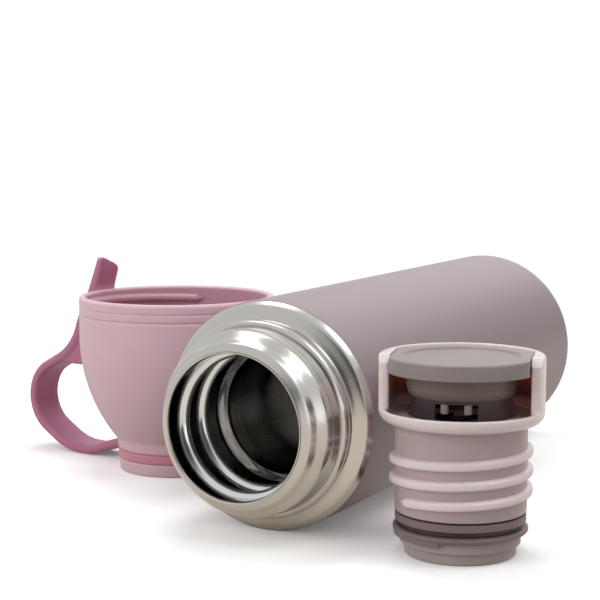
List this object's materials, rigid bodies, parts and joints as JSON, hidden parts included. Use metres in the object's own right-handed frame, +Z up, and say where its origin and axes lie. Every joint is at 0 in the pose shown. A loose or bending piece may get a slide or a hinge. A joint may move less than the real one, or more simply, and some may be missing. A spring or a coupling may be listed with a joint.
{
  "type": "vacuum baby bottle",
  "caption": "Steel vacuum baby bottle lying on its side, with its handled cup lid and its push-button pouring stopper standing beside it.",
  "frame": {"origin": "on the floor, under the middle of the box round the bottle, the cup and the stopper", "axes": "+Y along the bottle's axis from its mouth to its base, +Z up from the floor, +X towards the stopper"},
  "size_m": [0.2262, 0.209, 0.0748],
  "materials": {
    "outer_shell": "smooth satin mauve paint",
    "neck_collar": "turned and polished bare steel",
    "inner_vessel": "polished steel inside",
    "vessel_bottom": "polished steel inside",
    "shell_bottom": "plain pressed steel",
    "seal_plug": "plain metal",
    "base_cover": "satin mauve paint",
    "getter_cup": "plain metal",
    "reflective_foil": "bright foil",
    "stopper_body": "pale pink moulded plastic",
    "pour_collar": "pale pink moulded plastic",
    "stem_guide": "pale moulded plastic",
    "valve_cap": "mauve moulded plastic",
    "packing_ring": "soft mauve silicone",
    "return_spring": "steel wire",
    "push_button": "mauve grey moulded plastic",
    "plunger_sleeve": "mauve moulded plastic",
    "guide_pins": "mauve moulded plastic",
    "valve_stem": "pale moulded plastic",
    "valve_disc": "pale moulded plastic",
    "valve_seal": "soft silicone",
    "cup_bowl": "smooth pink plastic",
    "cup_foot": "smooth pink plastic",
    "cup_handle": "deep rose plastic"
  },
  "bodies": {
    "bottle": {"outer_shell": "outer_shell", "neck_collar": "neck_collar", "inner_vessel": "inner_vessel", "vessel_bottom": "vessel_bottom", "shell_bottom": "shell_bottom", "seal_plug": "seal_plug", "base_cover": "base_cover", "getter_cup": "getter_cup", "reflective_foil": "reflective_foil"},
    "cup": {"cup_bowl": "cup_bowl", "cup_foot": "cup_foot", "cup_handle": "cup_handle"},
    "stopper": {"stopper_body": "stopper_body", "pour_collar": "pour_collar", "stem_guide": "stem_guide", "valve_cap": "valve_cap", "packing_ring": "packing_ring", "return_spring": "return_spring"},
    "button": {"push_button": "push_button", "plunger_sleeve": "plunger_sleeve", "guide_pins": "guide_pins", "valve_stem": "valve_stem", "valve_disc": "valve_disc", "valve_seal": "valve_seal"}
  },
  "joints": [
    {"name": "cup_lift", "type": "slide", "parent": "bottle", "child": "cup", "axis": [0, 0, 1], "range_m": [0, 0.15]},
    {"name": "stopper_lift", "type": "slide", "parent": "bottle", "child": "stopper", "axis": [0, 0, 1], "range_m": [0, 0.15]},
    {"name": "button_press", "type": "slide", "parent": "stopper", "child": "button", "axis": [0, 0, -1], "range_m": [0, 0.004], "stiffness_N_per_m": 900, "springref_m": -0.004, "deforming": ["return_spring"]}
  ]
}
